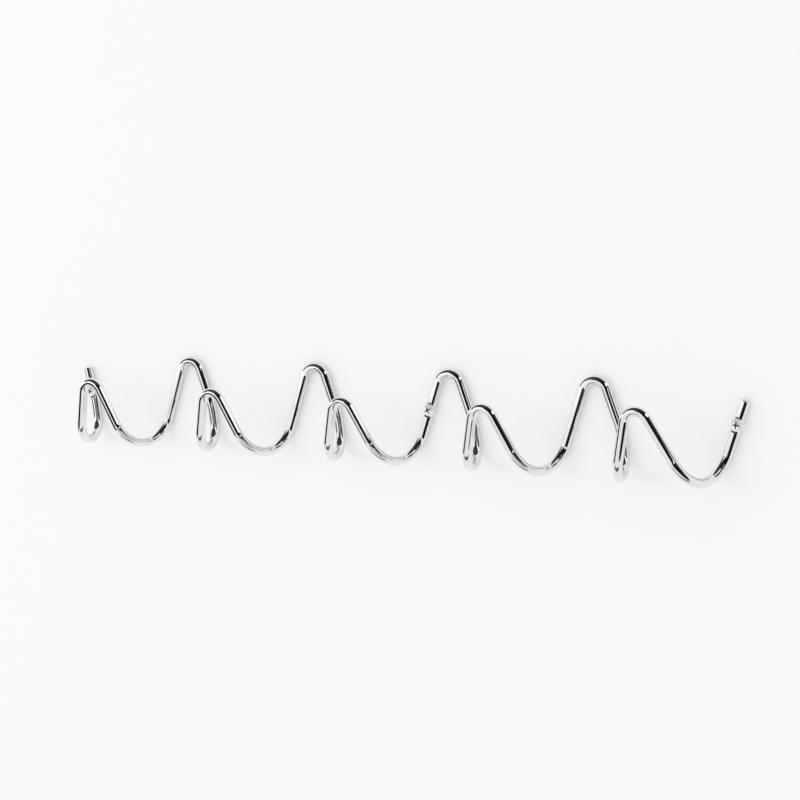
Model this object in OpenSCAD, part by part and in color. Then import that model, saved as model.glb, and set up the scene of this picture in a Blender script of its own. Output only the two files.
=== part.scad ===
// Wall hook rail: one round chromed rod bent into a row of coat hooks, held to the wall by three screws.
// Millimetres. X runs along the wall to the right, Z up, the wall is the plane y = 0 and the room is at -Y.
// The origin is where the axis of the middle screw meets the wall.
// Corner points are where two straight runs of the rod would meet; every corner is rounded by a bend.

/* [Rod] */
// diameter of the round rod
rod_d = 8; // [6:0.5:9]
// number of hooks in the row
hook_count = 5; // [2:1:8]
// distance from one hook to the next
pitch = 134; // [128:1:170]

/* [Run on the wall] */
// height of the crest's corner point above the screw line
crest_z = 53; // [45:1:70]
// bend radius of the crest, to the rod's axis
crest_bend_r = 11; // [9:0.5:16]
// how far right of the crest the falling leg turns upright
leg_x = 24.5; // [20:0.5:28]
// how far below the screw line the falling leg turns upright
leg_drop = 9; // [4:0.5:14]
// bend radius of that gentle turn
leg_bend_r = 60; // [40:1:80]

/* [Hook] */
// how far right of the crest the falling leg meets the cup
cup_back_x = 30; // [28:0.5:33]
// how far right of the crest the front leg leaves the cup
cup_front_x = 37; // [34:0.5:40]
// distance from the falling leg's axis out to the cup's front corner
cup_out = 37; // [30:0.5:44]
// level of the cup's bottom below the screw line, to the rod's axis
cup_drop = 42.5; // [36:0.5:52]
// how far right of the crest the corner over the front bend stands
front_x = 52; // [47:0.5:58]
// distance from the falling leg's axis out to that corner
front_out = 47; // [42:0.5:54]
// height of that corner above the screw line
front_z = 28.5; // [22:0.5:38]
// bend radius of the front bend, to the rod's axis
front_bend_r = 11; // [9:0.5:14]

/* [Way back to the wall] */
// how far right of the crest the arm's lower corner stands
arm_x = 92; // [86:0.5:96]
// distance from the wall run's axis out to that corner
arm_out = 42; // [34:0.5:46]
// how far below the screw line that corner lies
arm_drop = 40; // [34:0.5:46]
// how far right of the crest the trough's corner on the wall stands
trough_x = 102.5; // [99:0.5:108]
// how far below the screw line that corner lies
trough_drop = 45; // [41:0.5:54]
// how much further right the last rising leg stands than the others
end_leg_shift = 5.5; // [0:0.5:10]

/* [Ends] */
// height of both cut ends above the screw line
end_z = 21; // [16:0.5:26]
// how far right of its crest line the left end stands
left_end_x = 16; // [13:0.5:18]
// small chamfer of the cut ends
end_chamfer = 0.5; // [0.2:0.1:1]

/* [Screws] */
// diameter of the screw's head
head_d = 10.8; // [9:0.1:11.5]
// height of the head's dome over its rim
head_dome = 2.2; // [1.5:0.1:3]
// outer diameter of the screw's threaded length, which is what goes into the wall
thread_d = 5; // [4:0.25:5]
// diameter of the plain neck between the head and the thread
neck_d = 3.6; // [3:0.1:3.9]
// length of the screw from the rim of its head
screw_l = 50; // [40:1:70]
// length of the screw's point
point_l = 6; // [4:0.5:8]
// diameter of the hole through the rod
hole_d = 5.4; // [5.2:0.1:5.8]
// how deep the head's rim is let into the front of the rod
rim_sink = 0.7; // [0:0.1:1.2]
// height of the straight edge round the head's rim
rim_h = 0.35; // [0.2:0.05:0.6]
// level of the left screw above the screw line
left_screw_z = 0; // [-3:0.5:3]
// level of the right screw above the screw line
right_screw_z = 2; // [-3:0.5:4]
// width across the wings of the cross recess
recess_w = 5.8; // [4:0.1:6.5]
// thickness of one wing of the recess
recess_t = 1.2; // [0.8:0.1:1.6]
// depth of the recess below the top of the dome
recess_depth = 3; // [2:0.1:3.5]

/* [Hidden] */
// how much each hook's front bend stands above an even row on the piece shown
hook_lift = [4.5, -0.5, -2.5, -1, 2];
rod_r = rod_d / 2;
wall_y = -rod_r;
// overlap and hair's breadth between the rod's pieces, and how far a cutter reaches past what it cuts
seam_reach = 0.1;
seam_step = 0.03;
cut_over = 1;

// the hook whose rising leg takes the middle screw
mid_hook = ceil(hook_count / 2) - 1;
// lean of a rising leg, sideways per height
leg_lean = (pitch - trough_x) / (crest_z + trough_drop);
// x of the middle screw counted from the first crest line
mid_x = mid_hook * pitch + trough_x + trough_drop * leg_lean;

function unit(v) = v / norm(v);
function lift(k) = k < len(hook_lift) ? hook_lift[k] : 0;
function last(k) = k == hook_count - 1 ? 1 : 0;

// x of a point counted from the crest of hook k, and the wall run's points
function at(k, x, out, z) = [k * pitch + x - mid_x, wall_y - out, z];

// corner points of hook k from its falling leg to its trough
function hook_points(k) = [
  at(k, leg_x, 0, -leg_drop),
  at(k, cup_back_x, 0, -cup_drop),
  at(k, cup_front_x, cup_out, -cup_drop),
  at(k, front_x, front_out, front_z + lift(k)),
  at(k, arm_x + last(k) * end_leg_shift, arm_out, -arm_drop),
  at(k, trough_x + last(k) * end_leg_shift, 0, -trough_drop)
];
right_end = at(hook_count - 1, trough_x + end_leg_shift + (trough_drop + end_z) * leg_lean, 0, end_z);

// every corner point of the rod, the two cut ends first and last
corners = concat(
  [at(0, left_end_x, 0, end_z)],
  [for (k = [0 : hook_count - 1]) each concat(hook_points(k), last(k) ? [] : [at(k + 1, 0, 0, crest_z)])],
  [right_end]
);
n = len(corners);

function turn(i) = acos(unit(corners[i] - corners[i - 1]) * unit(corners[i + 1] - corners[i]));
// the largest radius with which two neighbouring bends still meet
function pair_r(i) = 0.985 * norm(corners[i + 1] - corners[i]) / (tan(turn(i) / 2) + tan(turn(i + 1) / 2));
// place of corner i within its hook: 0 leg, 1 and 2 cup, 3 front, 4 arm, 5 trough, 6 crest
function place(i) = (i - 1) % 7;
function bend_r(i) =
  place(i) == 0 ? leg_bend_r :
  place(i) == 1 ? pair_r(i) :
  place(i) == 2 ? pair_r(i - 1) :
  place(i) == 3 ? front_bend_r :
  place(i) == 4 ? pair_r(i) :
  place(i) == 5 ? pair_r(i - 1) : crest_bend_r;

function bend_in(i) = corners[i] - unit(corners[i] - corners[i - 1]) * bend_r(i) * tan(turn(i) / 2);
function bend_out(i) = corners[i] + unit(corners[i + 1] - corners[i]) * bend_r(i) * tan(turn(i) / 2);

// a straight run reaches a little into its neighbours and is a hair thinner there, so that they share volume
module straight(a, b) {
  d = unit(b - a);
  s = unit(cross(abs(d[2]) < 0.9 ? [0, 0, 1] : [1, 0, 0], d));
  t = cross(d, s);
  o = a - d * seam_reach;
  multmatrix([[s[0], t[0], d[0], o[0]], [s[1], t[1], d[1], o[1]], [s[2], t[2], d[2], o[2]], [0, 0, 0, 1]])
    cylinder(h = norm(b - a) + 2 * seam_reach, r = rod_r - seam_step, $fn = 48);
}

module bend(i) {
  a = unit(corners[i] - corners[i - 1]);
  b = unit(corners[i + 1] - corners[i]);
  inward = unit(b - a * (a * b));
  centre = bend_in(i) + inward * bend_r(i);
  up = cross(-inward, a);
  multmatrix([[-inward[0], a[0], up[0], centre[0]], [-inward[1], a[1], up[1], centre[1]], [-inward[2], a[2], up[2], centre[2]], [0, 0, 0, 1]])
    rotate_extrude(angle = turn(i), $fn = 96)
      translate([bend_r(i), 0]) circle(r = rod_r, $fn = 48);
}

// a cut end with its edge broken
module cut_end(tip, from) {
  d = unit(from - tip);
  s = unit(cross(abs(d[2]) < 0.9 ? [0, 0, 1] : [1, 0, 0], d));
  t = cross(d, s);
  multmatrix([[s[0], t[0], d[0], tip[0]], [s[1], t[1], d[1], tip[1]], [s[2], t[2], d[2], tip[2]], [0, 0, 0, 1]])
    cylinder(h = end_chamfer, r1 = rod_r - end_chamfer, r2 = rod_r, $fn = 48);
}

module rod() {
  first = corners[0];
  firstin = first + unit(corners[1] - first) * end_chamfer;
  lastin = corners[n - 1] + unit(corners[n - 2] - corners[n - 1]) * end_chamfer;
  union() {
    cut_end(first, corners[1]);
    straight(firstin, bend_in(1));
    for (i = [1 : n - 2]) {
      bend(i);
      straight(bend_out(i), i == n - 2 ? lastin : bend_in(i + 1));
    }
    cut_end(corners[n - 1], corners[n - 2]);
  }
}

// seats of the screws on the wall plane
left_lean = (corners[1][0] - corners[0][0]) / (corners[0][2] - corners[1][2]);
left_seat = [corners[0][0] + (end_z - left_screw_z) * left_lean, 0, left_screw_z];
middle_seat = [0, 0, 0];
right_seat = [right_end[0] - (end_z - right_screw_z) * leg_lean, 0, right_screw_z];

rim_y = -rod_d + rim_sink;
// the thread starts where the screw enters the wall
thread_z = -rim_y;
// radius of the dome's curve, and half of the angle that it spans
dome_r = (head_d * head_d / 4 + head_dome * head_dome) / (2 * head_dome);
dome_a = asin(head_d / 2 / dome_r);
dome_steps = 8;

// screw along +Z, its rim at z = 0 and its point at z = screw_l; the cone under the head is a right angle
module screw_body() {
  rotate_extrude($fn = 64)
    polygon(concat(
      [for (j = [0 : dome_steps]) let (q = j / dome_steps * dome_a) [dome_r * sin(q), dome_r - head_dome - dome_r * cos(q)]],
      [[head_d / 2, rim_h], [neck_d / 2, rim_h + (head_d - neck_d) / 2]],
      [[neck_d / 2, thread_z], [thread_d / 2, thread_z], [thread_d / 2, screw_l - point_l], [0, screw_l]]
    ));
}

// one wing pair of the recess, as a plate that stands well clear of the dome
module wings() {
  translate([-recess_w, -recess_t / 2, -head_dome - cut_over])
    cube([2 * recess_w, recess_t, recess_depth + 2 * cut_over]);
}

// four tapered wings cut into the dome, half as wide across at their floor
module recess() {
  taper = recess_w / 4 / recess_depth;
  intersection() {
    translate([0, 0, -head_dome - cut_over])
      cylinder(h = recess_depth + cut_over, r1 = recess_w / 2 + cut_over * taper, r2 = recess_w / 4, $fn = 48);
    union() {
      wings();
      rotate([0, 0, 90]) wings();
    }
  }
}

// a screw in the rod, pointing into the wall, its recess turned by a
module screw_at(seat, a) {
  translate([seat[0], rim_y, seat[2]]) rotate([-90, 0, 0]) rotate([0, 0, a])
    difference() {
      screw_body();
      recess();
    }
}

// hole through the rod, with the cone that the head sits in and a counterbore for its rim
module screw_hole(seat) {
  translate([seat[0], rim_y, seat[2]]) rotate([-90, 0, 0]) {
    cylinder(h = thread_z + cut_over, d = hole_d, $fn = 64);
    translate([0, 0, rim_h]) cylinder(h = (head_d - hole_d) / 2, d1 = head_d, d2 = hole_d, $fn = 64);
    translate([0, 0, -rim_sink - cut_over]) cylinder(h = rim_sink + cut_over + rim_h, d = head_d, $fn = 64);
  }
}

module rail() {
  color([0.86, 0.87, 0.89]) difference() {
    rod();
    screw_hole(left_seat);
    screw_hole(middle_seat);
    screw_hole(right_seat);
  }
}

module screw_left() { color([0.8, 0.81, 0.83]) screw_at(left_seat, 20); }
module screw_middle() { color([0.8, 0.81, 0.83]) screw_at(middle_seat, 62); }
module screw_right() { color([0.8, 0.81, 0.83]) screw_at(right_seat, 8); }

rail();
screw_left();
screw_middle();
screw_right();
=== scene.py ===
import math

import bmesh
import bpy
from mathutils import Matrix, Vector


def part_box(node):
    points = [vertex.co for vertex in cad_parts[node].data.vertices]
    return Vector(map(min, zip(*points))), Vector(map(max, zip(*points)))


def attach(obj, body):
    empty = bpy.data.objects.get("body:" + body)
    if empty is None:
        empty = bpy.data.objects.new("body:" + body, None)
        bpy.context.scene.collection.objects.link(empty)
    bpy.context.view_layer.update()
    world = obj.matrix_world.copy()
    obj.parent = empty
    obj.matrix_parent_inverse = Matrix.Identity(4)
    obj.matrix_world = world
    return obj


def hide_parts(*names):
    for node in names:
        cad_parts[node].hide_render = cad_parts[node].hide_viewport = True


mm = 0.001
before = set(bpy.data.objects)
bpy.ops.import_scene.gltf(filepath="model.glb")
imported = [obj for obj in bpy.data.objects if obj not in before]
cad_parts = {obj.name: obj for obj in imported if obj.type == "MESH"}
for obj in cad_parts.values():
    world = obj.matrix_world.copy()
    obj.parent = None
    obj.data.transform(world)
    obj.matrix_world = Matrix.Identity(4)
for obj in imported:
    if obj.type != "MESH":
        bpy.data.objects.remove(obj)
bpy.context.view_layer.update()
scene = bpy.context.scene
scene.view_settings.view_transform = "Standard"
print("frame loaded:", ", ".join(sorted(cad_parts)))


def outward(azimuth, elevation):
    # direction out of the wall, turned to the right and raised by degrees
    a, e = math.radians(azimuth), math.radians(elevation)
    return Vector((math.sin(a) * math.cos(e), -math.cos(a) * math.cos(e), math.sin(e)))


# camera, looking at a point of the rail: angles in degrees, lengths in millimetres, clip in metres
camera = {
    "azimuth": 31.05, "elevation": 5.25, "distance": 1736.8,
    "aim": (-32.41, 0.0, 6.40),
    "lens": 92.04, "sensor": 36.0, "clip": (0.05, 50.0),
}


def makeCamera(c):
    back = outward(c["azimuth"], c["elevation"])
    data = bpy.data.cameras.new("camera")
    data.lens, data.sensor_width = c["lens"], c["sensor"]
    data.clip_start, data.clip_end = c["clip"]
    cam = bpy.data.objects.new("camera", data)
    scene.collection.objects.link(cam)
    cam.location = (Vector(c["aim"]) + back * c["distance"]) * mm
    cam.rotation_mode = "QUATERNION"
    cam.rotation_quaternion = (-back).to_track_quat("-Z", "Y")
    scene.camera = cam


makeCamera(camera)
print("camera set")


# rod, in the solid's own sizes: corner points, each rounded by a bend
# x along the wall from the crest before a hook, out from the wall, z up and drop down, in millimetres
rod = {
    "diameter": 8.0, "hooks": 5, "pitch": 134.0,
    "crestZ": 53.0, "crestRadius": 11.0,
    "legX": 24.5, "legDrop": 9.0, "legRadius": 60.0,
    "cupBackX": 30.0, "cupFrontX": 37.0, "cupOut": 37.0, "cupDrop": 42.5,
    "frontX": 52.0, "frontOut": 47.0, "frontZ": 28.5, "frontRadius": 11.0,
    "frontLift": (4.5, -0.5, -2.5, -1.0, 2.0),  # how uneven the front bends stand
    "armX": 92.0, "armOut": 42.0, "armDrop": 40.0,
    "troughX": 102.5, "troughDrop": 45.0, "endLegShift": 5.5,
    "endZ": 21.0, "leftEndX": 16.0, "chamfer": 0.5,
    "pairFill": 0.985,  # how much of the length between its corners a pair of bends takes
    "sides": 48, "straightStep": 3.0, "bendStep": 1.1, "fewestBendSteps": 4,
    "edgeAngle": 30,
    "girth": 25.0,  # length of the polish pattern once round the rod
}

# the origin is where the middle hook's rising leg crosses height 0
legLean = (rod["pitch"] - rod["troughX"]) / (rod["crestZ"] + rod["troughDrop"])
middleX = (math.ceil(rod["hooks"] / 2) - 1) * rod["pitch"] + rod["troughX"] + rod["troughDrop"] * legLean


def rodPoint(hook, x, out, z):
    return Vector((hook * rod["pitch"] + x - middleX, -rod["diameter"] / 2 - out, z))


def rodCorners():
    # corner points with their bend: a radius, or "pair" where two neighbours share the length between them
    r = rod
    corners = [(rodPoint(0, r["leftEndX"], 0, r["endZ"]), None)]
    for k in range(r["hooks"]):
        isLast = k == r["hooks"] - 1
        shift = r["endLegShift"] if isLast else 0
        corners += [
            (rodPoint(k, r["legX"], 0, -r["legDrop"]), r["legRadius"]),
            (rodPoint(k, r["cupBackX"], 0, -r["cupDrop"]), "pair"),
            (rodPoint(k, r["cupFrontX"], r["cupOut"], -r["cupDrop"]), "pairEnd"),
            (rodPoint(k, r["frontX"], r["frontOut"], r["frontZ"] + r["frontLift"][k]), r["frontRadius"]),
            (rodPoint(k, r["armX"] + shift, r["armOut"], -r["armDrop"]), "pair"),
            (rodPoint(k, r["troughX"] + shift, 0, -r["troughDrop"]), "pairEnd"),
        ]
        if not isLast:
            corners.append((rodPoint(k + 1, 0, 0, r["crestZ"]), r["crestRadius"]))
    endX = r["troughX"] + r["endLegShift"] + (r["troughDrop"] + r["endZ"]) * legLean
    corners.append((rodPoint(r["hooks"] - 1, endX, 0, r["endZ"]), None))
    return corners


def bendRadii(points, bends, turns):
    radii = [0.0] * len(points)
    for i in range(1, len(points) - 1):
        if bends[i] == "pair":
            between = (points[i + 1] - points[i]).length * rod["pairFill"]
            radii[i] = between / (math.tan(turns[i] / 2) + math.tan(turns[i + 1] / 2))
        elif bends[i] == "pairEnd":
            radii[i] = radii[i - 1]
        else:
            radii[i] = bends[i]
    return radii


def straightRings(start, end, direction):
    # the ring at the end is left to what follows
    count = max(1, round((end - start).length / rod["straightStep"]))
    return [(start.lerp(end, j / count), direction) for j in range(count)]


def bendRings(start, before, after, radius, turn):
    inward = (after - before * before.dot(after)).normalized()
    centre = start + inward * radius
    steps = max(rod["fewestBendSteps"], math.ceil(radius * turn / rod["bendStep"]))
    rings = []
    for j in range(steps):
        q = turn * j / steps
        outOfCentre = before * math.sin(q) - inward * math.cos(q)
        rings.append((centre + outOfCentre * radius, before * math.cos(q) + inward * math.sin(q)))
    return rings


def rodPath():
    # centre and direction of each ring, from one end of the rod to the other
    points, bends = zip(*rodCorners())
    ways = [(b - a).normalized() for a, b in zip(points, points[1:])]
    turns = [0.0] + [a.angle(b) for a, b in zip(ways, ways[1:])] + [0.0]
    radii = bendRadii(points, bends, turns)
    rings = []
    here = points[0]
    for i in range(1, len(points) - 1):
        reach = radii[i] * math.tan(turns[i] / 2)
        bendStart = points[i] - ways[i - 1] * reach
        rings += straightRings(here, bendStart, ways[i - 1])
        rings += bendRings(bendStart, ways[i - 1], ways[i], radii[i], turns[i])
        here = points[i] + ways[i] * reach
    rings += straightRings(here, points[-1], ways[-1])
    rings.append((points[-1], ways[-1]))
    return rings


def carryFrame(side, before, after):
    # the cross direction follows the path without twisting
    spin = before.rotation_difference(after)
    return (spin @ side).normalized()


def newObject(name, bm):
    mesh = bpy.data.meshes.new(name)
    bm.to_mesh(mesh)
    bm.free()
    obj = bpy.data.objects.new(name, mesh)
    scene.collection.objects.link(obj)
    return obj


def smoothWithEdges(bm, degrees):
    # edges sharper than the given angle stay sharp
    limit = math.radians(degrees)
    for f in bm.faces:
        f.smooth = True
    for e in bm.edges:
        if len(e.link_faces) == 2:
            e.smooth = e.calc_face_angle(0.0) < limit


def makeRod():
    path = rodPath()
    bm = bmesh.new()
    half, chamfer, n = rod["diameter"] / 2, rod["chamfer"], rod["sides"]
    (start, startWay), (end, endWay) = path[0], path[-1]
    # the two chamfers: a smaller ring at each very end, the full ring one chamfer further in
    rings = [(start, startWay, half - chamfer), (start + startWay * chamfer, startWay, half)]
    rings += [(p, d, half) for p, d in path[1:-1]]
    rings += [(end - endWay * chamfer, endWay, half), (end, endWay, half - chamfer)]
    along = [0.0]
    for a, b in zip(rings, rings[1:]):
        along.append(along[-1] + (b[0] - a[0]).length)
    side = startWay.cross(Vector((0, 1, 0))).normalized()
    made, before = [], startWay
    for centre, direction, radius in rings:
        side = carryFrame(side, before, direction)
        before = direction
        other = direction.cross(side)
        made.append([
            bm.verts.new((centre + (side * math.cos(q) + other * math.sin(q)) * radius) * mm)
            for q in (2 * math.pi * j / n for j in range(n))
        ])
    uv = bm.loops.layers.uv.new("alongRod")
    for i, (a, b) in enumerate(zip(made, made[1:])):
        for j in range(n):
            f = bm.faces.new((a[j], a[(j + 1) % n], b[(j + 1) % n], b[j]))
            spots = ((j, i), (j + 1, i), (j + 1, i + 1), (j, i + 1))
            for loop, (around, ring) in zip(f.loops, spots):
                loop[uv].uv = (around / n * rod["girth"], along[ring])  # both in millimetres
    for ring in (list(reversed(made[0])), made[-1]):
        bm.faces.new(ring).material_index = 1
    smoothWithEdges(bm, rod["edgeAngle"])
    return newObject("bentRod", bm)


# screws: x and z of their places come from the solids, each turned as its cross stands in the photo
screw = {
    "turn": {"screw_left": 20, "screw_middle": 62, "screw_right": 8},
    "headDiameter": 10.8, "dome": 2.2, "domeRings": 14,
    "rim": 0.35, "rimSink": 0.7, "rimRound": 0.12,
    "rimTurn": (0.4, 0.1),  # middle of the rounded rim, down and inward, as shares of rimRound
    "neckDiameter": 3.6, "length": 50.0, "point": 6.0,
    "threadDiameter": 5.0, "coreDiameter": 3.3, "threadPitch": 2.2, "threadStep": 0.14,
    "ridgeHalf": 0.24, "fadeTurns": 0.6,  # in turns of the thread
    "ridgeFlat": 1.15,  # above 1 the ridge has a flat top
    "recessWidth": 5.8, "recessThick": 1.2, "recessDepth": 3.0,
    "recessFloorWidth": 0.5, "recessFloorThick": 0.8,  # as shares of the sizes at the top
    "holeDiameter": 5.4, "seatGap": 1.1,
    "sides": 64, "edgeAngle": 32,
}
rimToWall = rod["diameter"] - screw["rimSink"]  # the thread begins where the screw goes into the wall


def screwPlace(node, turn=0.0):
    # the screw's own axes stood at its rim: z goes into the wall
    lo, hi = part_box(node)
    seat = Vector(((lo[0] + hi[0]) / 2, -rimToWall * mm, (lo[2] + hi[2]) / 2))
    spin = Matrix.Rotation(math.radians(-90), 4, "X") @ Matrix.Rotation(math.radians(turn), 4, "Z")
    return Matrix.Translation(seat) @ spin @ Matrix.Scale(mm, 4)


def clamped(value):
    return min(1.0, max(0.0, value))


def threadRadius(z, angle):
    # the thread is a ridge that winds round the core: its phase is the height less the turn
    s = screw
    taper = clamped((s["length"] - z) / s["point"])
    core, outer = s["coreDiameter"] / 2 * taper, s["threadDiameter"] / 2 * taper
    phase = ((z - rimToWall) / s["threadPitch"] - angle / (2 * math.pi)) % 1.0
    ridge = clamped(clamped(1 - abs(phase - 0.5) / s["ridgeHalf"]) * s["ridgeFlat"])
    fade = clamped((z - rimToWall) / (s["threadPitch"] * s["fadeTurns"]))
    return core + (outer - core) * ridge * fade


def screwProfile():
    # heights and radii down the dome, the rounded rim, the cone under the head and the neck
    s = screw
    half, neck, soft = s["headDiameter"] / 2, s["neckDiameter"] / 2, s["rimRound"]
    domeRadius = (half ** 2 + s["dome"] ** 2) / (2 * s["dome"])
    domeAngle = math.asin(half / domeRadius) * (1 - soft / half)
    rows = []
    for j in range(1, s["domeRings"] + 1):
        q = domeAngle * j / s["domeRings"]
        rows.append((domeRadius - s["dome"] - domeRadius * math.cos(q), domeRadius * math.sin(q)))
    down, inward = s["rimTurn"]
    rows += [(soft * down, half - soft * inward), (soft, half), (s["rim"], half)]
    rows += [(s["rim"] + half - neck, neck), (rimToWall, neck)]
    return rows


def turnedMesh(bm, rows, tipZ, endZ):
    # closed body from rows of (height, radii round the axis)
    n = len(rows[0][1])
    made = []
    for z, radii in rows:
        made.append([
            bm.verts.new((r * math.cos(2 * math.pi * i / n), r * math.sin(2 * math.pi * i / n), z))
            for i, r in enumerate(radii)
        ])
    tip, end = bm.verts.new((0, 0, tipZ)), bm.verts.new((0, 0, endZ))
    for i in range(n):
        k = (i + 1) % n
        bm.faces.new((tip, made[0][k], made[0][i]))
        bm.faces.new((end, made[-1][i], made[-1][k]))
        for a, b in zip(made, made[1:]):
            bm.faces.new((a[i], a[k], b[k], b[i]))
    bmesh.ops.recalc_face_normals(bm, faces=bm.faces)


def makeRecessCutter():
    # a cross that narrows with depth, from above the dome down to the recess floor
    s, over = screw, 1.0
    reach, half = s["recessWidth"] / 2, s["recessThick"] / 2
    floorReach = reach * s["recessFloorWidth"]
    slope = (reach - floorReach) / s["recessDepth"]
    levels = (
        (-s["dome"] - over, reach + over * slope, half),
        (-s["dome"] + s["recessDepth"], floorReach, half * s["recessFloorThick"]),
    )
    bm = bmesh.new()
    rings = []
    for z, armEnd, armSide in levels:
        ring = []
        for k in range(4):
            q = math.pi / 2 * k
            for x, y in ((armEnd, -armSide), (armEnd, armSide), (armSide, armSide)):
                turned = (x * math.cos(q) - y * math.sin(q), x * math.sin(q) + y * math.cos(q), z)
                ring.append(bm.verts.new(turned))
        rings.append(ring)
    top, floor = rings
    for i in range(len(top)):
        k = (i + 1) % len(top)
        bm.faces.new((top[i], top[k], floor[k], floor[i]))
    bm.faces.new(top)
    bm.faces.new(floor)
    bmesh.ops.recalc_face_normals(bm, faces=bm.faces)
    # the recess faces take the near-black painted shade
    for f in bm.faces:
        f.material_index = 1
    return newObject("recessCutter", bm)


def makeHoleCutter():
    # counterbore with a gap round the rim, right-angled seat and bore
    s, above, beyond = screw, 4.0, 2.0
    bore, head = s["holeDiameter"] / 2, s["headDiameter"] / 2
    wide, seatEnd = head + s["seatGap"], s["rim"] + head - bore
    profile = [
        (-above, wide), (s["rim"], wide), (s["rim"], head),
        (seatEnd, bore), (rod["diameter"] + beyond, bore),
    ]
    bm = bmesh.new()
    turnedMesh(bm, [(z, [r] * s["sides"]) for z, r in profile], profile[0][0], profile[-1][0])
    # the cut faces, the gap round each head among them, take the near-black painted shade
    for f in bm.faces:
        f.material_index = 2
    return newObject("holeCutter", bm)


def cutAway(obj, cutter, degrees):
    # takes the cutter's shape out of the object for good
    tool = obj.modifiers.new("cut", "BOOLEAN")
    tool.operation, tool.object, tool.solver = "DIFFERENCE", cutter, "EXACT"
    depsgraph = bpy.context.evaluated_depsgraph_get()
    cut = bpy.data.meshes.new_from_object(obj.evaluated_get(depsgraph))
    obj.modifiers.clear()
    before, obj.data = obj.data, cut
    bpy.data.meshes.remove(before)
    bm = bmesh.new()
    bm.from_mesh(cut)
    smoothWithEdges(bm, degrees)
    bm.to_mesh(cut)
    bm.free()


def makeScrew(node, turn, cutter):
    s = screw
    n = s["sides"]
    rows = [(z, [r] * n) for z, r in screwProfile()]
    count = int((s["length"] - rimToWall) / s["threadStep"])
    for j in range(1, count):
        z = rimToWall + (s["length"] - rimToWall) * j / count
        rows.append((z, [threadRadius(z, 2 * math.pi * i / n) for i in range(n)]))
    bm = bmesh.new()
    turnedMesh(bm, rows, -s["dome"], s["length"])
    obj = newObject(node.replace("_", "") + "Body", bm)
    obj.data.materials.append(screwPlating)
    obj.data.materials.append(paintedRecessShade)
    cutAway(obj, cutter, s["edgeAngle"])
    obj.data.transform(screwPlace(node, turn))
    return obj


# finishes: a noise gives each roughness its range and the surface its faint relief
# grain is how fine the noise is along each axis, relief how high in millimetres
finishes = {
    "polishedChrome": {
        "colour": (0.85, 0.855, 0.86), "metallic": 1.0, "roughness": (0.01, 0.03),
        "coordinates": "UV", "grain": (0.9, 0.03, 1.0), "relief": 0.0015,  # marks along the rod
    },
    "platedCut": {
        "colour": (0.76, 0.765, 0.775), "metallic": 1.0, "roughness": (0.14, 0.28),
        "coordinates": "Object", "grain": (300.0, 3000.0, 300.0), "relief": 0.006,  # saw marks
    },
    "screwPlating": {
        "colour": (0.96, 0.96, 0.965), "metallic": 0.45, "roughness": (0.24, 0.36),
        "coordinates": "Object", "grain": (900.0, 900.0, 900.0), "relief": 0.004,
    },
    # painted shade: near black stands in for the shade deep in the screws' cross recesses and in the gap
    # round each head
    "paintedRecessShade": {
        "colour": (0.03, 0.03, 0.032), "metallic": 0.0, "roughness": (0.45, 0.6),
        "coordinates": "Object", "grain": (2500.0, 2500.0, 2500.0), "relief": 0.01,
    },
    "wallPaint": {
        "colour": (0.9, 0.9, 0.905), "metallic": 0.0, "roughness": (0.8, 0.9),
        "coordinates": "Object", "grain": (260.0, 260.0, 260.0), "relief": 0.02,
    },
}
noiseDetail = 4.0
noiseLow, noiseHigh = 0.3, 0.7  # levels of the noise that give the least and the most roughness


def makeFinish(name):
    finish = finishes[name]
    material = bpy.data.materials.new(name)
    material.use_nodes = True
    nodes, links = material.node_tree.nodes, material.node_tree.links
    shader = nodes["Principled BSDF"]
    shader.inputs["Base Color"].default_value = (*finish["colour"], 1)
    shader.inputs["Metallic"].default_value = finish["metallic"]
    shader.inputs["Roughness"].default_value = sum(finish["roughness"]) / 2  # for a viewer without the noise
    where, stretch = nodes.new("ShaderNodeTexCoord"), nodes.new("ShaderNodeMapping")
    stretch.inputs["Scale"].default_value = finish["grain"]
    noise = nodes.new("ShaderNodeTexNoise")
    noise.inputs["Scale"].default_value = 1.0
    noise.inputs["Detail"].default_value = noiseDetail
    links.new(where.outputs[finish["coordinates"]], stretch.inputs["Vector"])
    links.new(stretch.outputs["Vector"], noise.inputs["Vector"])
    span = nodes.new("ShaderNodeMapRange")
    span.inputs["From Min"].default_value, span.inputs["From Max"].default_value = noiseLow, noiseHigh
    span.inputs["To Min"].default_value, span.inputs["To Max"].default_value = finish["roughness"]
    links.new(noise.outputs["Fac"], span.inputs["Value"])
    links.new(span.outputs["Result"], shader.inputs["Roughness"])
    relief = nodes.new("ShaderNodeBump")
    relief.inputs["Strength"].default_value = 1.0
    relief.inputs["Distance"].default_value = finish["relief"] * mm
    links.new(noise.outputs["Fac"], relief.inputs["Height"])
    links.new(relief.outputs["Normal"], shader.inputs["Normal"])
    return material


polishedChrome = makeFinish("polishedChrome")
platedCut = makeFinish("platedCut")
screwPlating = makeFinish("screwPlating")
paintedRecessShade = makeFinish("paintedRecessShade")
print("finishes made")

bentRod = makeRod()
holeCutter = makeHoleCutter()
for material in (polishedChrome, platedCut, paintedRecessShade):
    bentRod.data.materials.append(material)
    holeCutter.data.materials.append(material)
for node in screw["turn"]:
    holeCutter.matrix_world = screwPlace(node)
    cutAway(bentRod, holeCutter, rod["edgeAngle"])
bpy.data.objects.remove(holeCutter)
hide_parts("rail")
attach(bentRod, "root")
print("rod made:", len(bentRod.data.polygons), "faces")

recessCutter = makeRecessCutter()
recessCutter.data.materials.append(screwPlating)
recessCutter.data.materials.append(paintedRecessShade)
for node, turn in screw["turn"].items():
    body = makeScrew(node, turn, recessCutter)
    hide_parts(node)
    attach(body, "root")
bpy.data.objects.remove(recessCutter)
print("screws made")


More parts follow.
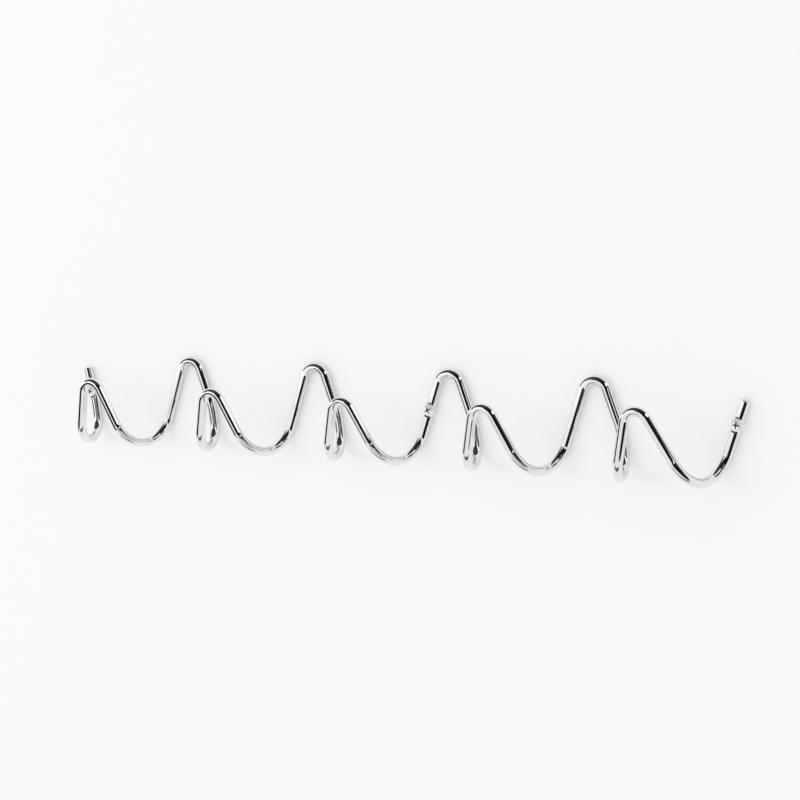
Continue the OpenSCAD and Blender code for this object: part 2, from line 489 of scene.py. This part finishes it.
def mathNode(tree, operation, *values):
    # each value is another node's output or a plain number
    node = tree.nodes.new("ShaderNodeMath")
    node.operation = operation
    for socket, value in zip(node.inputs, values):
        if isinstance(value, bpy.types.NodeSocket):
            tree.links.new(value, socket)
        else:
            socket.default_value = value
    return node.outputs["Value"]


def mixShaders(tree, share, first, second):
    mix = tree.nodes.new("ShaderNodeMixShader")
    for socket, source in zip(mix.inputs, (share, first, second)):
        tree.links.new(source, socket)
    return mix.outputs["Shader"]


# wall, in metres: the camera sees a share of it at one pale level,
# which keeps the shadows on it as light as in the photo
wall = {"width": 9.0, "height": 7.0, "behind": 0.0002, "pale": 0.965, "paleShare": 0.35}


def makeWall():
    w, h, y = wall["width"] / 2, wall["height"] / 2, wall["behind"]
    bm = bmesh.new()
    bm.faces.new([bm.verts.new(v) for v in ((-w, y, -h), (w, y, -h), (w, y, h), (-w, y, h))])
    obj = newObject("wall", bm)
    paint = makeFinish("wallPaint")
    tree = paint.node_tree
    path, side = tree.nodes.new("ShaderNodeLightPath"), tree.nodes.new("ShaderNodeNewGeometry")
    pale, clear = tree.nodes.new("ShaderNodeEmission"), tree.nodes.new("ShaderNodeBsdfTransparent")
    pale.inputs["Strength"].default_value = wall["pale"]
    seen = path.outputs["Is Camera Ray"]
    painted = tree.nodes["Principled BSDF"].outputs["BSDF"]
    share = mathNode(tree, "MULTIPLY", seen, wall["paleShare"])
    front = mixShaders(tree, share, painted, pale.outputs["Emission"])
    # from behind the camera looks through it
    behind = mathNode(tree, "MULTIPLY", seen, side.outputs["Backfacing"])
    both = mixShaders(tree, behind, front, clear.outputs["BSDF"])
    tree.links.new(both, tree.nodes["Material Output"].inputs["Surface"])
    obj.data.materials.append(paint)


# what the chrome mirrors: panels round the rail, each facing it
# angles in degrees and distances in metres from the rail's middle, soft is the border's share of a panel
panels = {
    "leftStrip": {
        "azimuth": -80.0, "elevation": 4.0, "distance": 1.3,
        "width": 3.9, "height": 0.42, "roll": -8, "light": 1.2, "soft": 0.06,
    },
    "frontLeft": {
        "azimuth": -42.0, "elevation": 6.0, "distance": 2.4,
        "width": 1.5, "height": 1.3, "roll": 0, "light": 1.15, "soft": 0.08,
    },
    "window": {
        "azimuth": 69.5, "elevation": 43.8, "distance": 2.41,
        "width": 2.6, "height": 0.72, "roll": 15, "light": 1.3, "soft": 0.12,
    },
    "darkRoom": {
        "azimuth": 16.0, "elevation": 22.0, "distance": 2.5,
        "width": 2.7, "height": 2.5, "roll": -6, "light": 0.005, "soft": 0.06,
    },
    "doorway": {
        "azimuth": 48.0, "elevation": 20.0, "distance": 2.2,
        "width": 0.16, "height": 1.5, "roll": -60, "light": 1.2, "soft": 0.2,
    },
    "darkRight": {
        "azimuth": 54.0, "elevation": 9.0, "distance": 2.6,
        "width": 2.0, "height": 0.7, "roll": -15, "light": 0.02, "soft": 0.1,
    },
    "lowStrip": {
        "azimuth": 29.0, "elevation": -23.0, "distance": 2.6,
        "width": 3.6, "height": 0.65, "roll": -19, "light": 0.008, "soft": 0.12,
    },
    "leftStand": {
        "azimuth": -63.0, "elevation": -14.0, "distance": 0.8,
        "width": 0.6, "height": 0.32, "roll": -8, "light": 0.005, "soft": 0.1,
    },
    "lowFront": {
        "azimuth": 4.0, "elevation": -62.0, "distance": 1.0,
        "width": 2.0, "height": 0.35, "roll": -12, "light": 0.12, "soft": 0.2,
    },
    "rightCorner": {
        "azimuth": 61.1, "elevation": -7.8, "distance": 0.34,
        "width": 0.26, "height": 0.1, "roll": -14, "light": 0.01, "soft": 0.08,
    },
}


def panelMaterial(name, light, soft):
    material = bpy.data.materials.new(name)
    material.use_nodes = True
    tree = material.node_tree
    tree.nodes.clear()
    out = tree.nodes.new("ShaderNodeOutputMaterial")
    glow, clear = tree.nodes.new("ShaderNodeEmission"), tree.nodes.new("ShaderNodeBsdfTransparent")
    glow.inputs["Strength"].default_value = light
    where, apart = tree.nodes.new("ShaderNodeTexCoord"), tree.nodes.new("ShaderNodeSeparateXYZ")
    tree.links.new(where.outputs["UV"], apart.inputs["Vector"])
    masks = []
    for axis in ("X", "Y"):
        # full in the middle, fading to nothing over the soft border
        offMiddle = mathNode(tree, "SUBTRACT", apart.outputs[axis], 0.5)
        fade = tree.nodes.new("ShaderNodeMapRange")
        fade.interpolation_type = "SMOOTHSTEP"
        fade.inputs["From Min"].default_value = 0.5
        fade.inputs["From Max"].default_value = 0.5 - soft
        tree.links.new(mathNode(tree, "ABSOLUTE", offMiddle), fade.inputs["Value"])
        masks.append(fade.outputs["Result"])
    mask = mathNode(tree, "MULTIPLY", *masks)
    panel = mixShaders(tree, mask, clear.outputs["BSDF"], glow.outputs["Emission"])
    tree.links.new(panel, out.inputs["Surface"])
    return material


def makePanel(name, p):
    middle = outward(p["azimuth"], p["elevation"]) * p["distance"]
    right = Vector((0.0, 0.0, 1.0)).cross(middle).normalized()
    up = middle.cross(right).normalized()
    roll = math.radians(p["roll"])
    across = (right * math.cos(roll) + up * math.sin(roll)) * p["width"]
    tall = (up * math.cos(roll) - right * math.sin(roll)) * p["height"]
    corners = ((0, 0), (1, 0), (1, 1), (0, 1))
    bm = bmesh.new()
    f = bm.faces.new([bm.verts.new(middle + across * (u - 0.5) + tall * (v - 0.5)) for u, v in corners])
    uv = bm.loops.layers.uv.new("panel")
    for loop, corner in zip(f.loops, corners):
        loop[uv].uv = corner
    obj = newObject(name, bm)
    obj.data.materials.append(panelMaterial(name, p["light"], p["soft"]))
    obj.visible_camera = False
    obj.visible_shadow = False
    obj.visible_diffuse = False


# room beyond the panels: the wall and the screws take the fill, metal mirrors a pale floor below a dim room,
# and the camera sees a pale backdrop
room = {"fill": 0.96, "below": 0.88, "above": 0.05, "turn": (0.07, 0.15), "camera": 0.93}


def makeRoom():
    world = bpy.data.worlds.new("room")
    scene.world = world
    world.use_nodes = True
    nodes, links = world.node_tree.nodes, world.node_tree.links
    where, apart = nodes.new("ShaderNodeTexCoord"), nodes.new("ShaderNodeSeparateXYZ")
    level, path = nodes.new("ShaderNodeMapRange"), nodes.new("ShaderNodeLightPath")
    links.new(where.outputs["Generated"], apart.inputs["Vector"])
    links.new(apart.outputs["Z"], level.inputs["Value"])
    level.inputs["From Min"].default_value, level.inputs["From Max"].default_value = room["turn"]
    level.inputs["To Min"].default_value = room["below"]
    level.inputs["To Max"].default_value = room["above"]
    forMetal, forCamera = nodes.new("ShaderNodeMix"), nodes.new("ShaderNodeMix")
    forMetal.inputs["A"].default_value = room["fill"]
    forCamera.inputs["B"].default_value = room["camera"]
    links.new(path.outputs["Is Glossy Ray"], forMetal.inputs["Factor"])
    links.new(level.outputs["Result"], forMetal.inputs["B"])
    links.new(path.outputs["Is Camera Ray"], forCamera.inputs["Factor"])
    links.new(forMetal.outputs["Result"], forCamera.inputs["A"])
    links.new(forCamera.outputs["Result"], nodes["Background"].inputs["Strength"])
    nodes["Background"].inputs["Color"].default_value = (1, 1, 1, 1)


# key light, seen by neither the chrome nor the camera
key = {
    "azimuth": -34.1, "elevation": 6.05, "distance": 3.035,
    "width": 2.2, "height": 0.5, "power": 11.0,
}


def makeKey():
    out = outward(key["azimuth"], key["elevation"])
    data = bpy.data.lights.new("key", "AREA")
    data.shape = "RECTANGLE"
    data.size, data.size_y, data.energy = key["width"], key["height"], key["power"]
    obj = bpy.data.objects.new("key", data)
    scene.collection.objects.link(obj)
    obj.location = out * key["distance"]
    obj.rotation_mode = "QUATERNION"
    obj.rotation_quaternion = (-out).to_track_quat("-Z", "Y")
    obj.visible_glossy = False
    obj.visible_camera = False


makeWall()
print("wall made")
for name, p in panels.items():
    makePanel(name, p)
makeRoom()
makeKey()
print("panels, room and key light set")
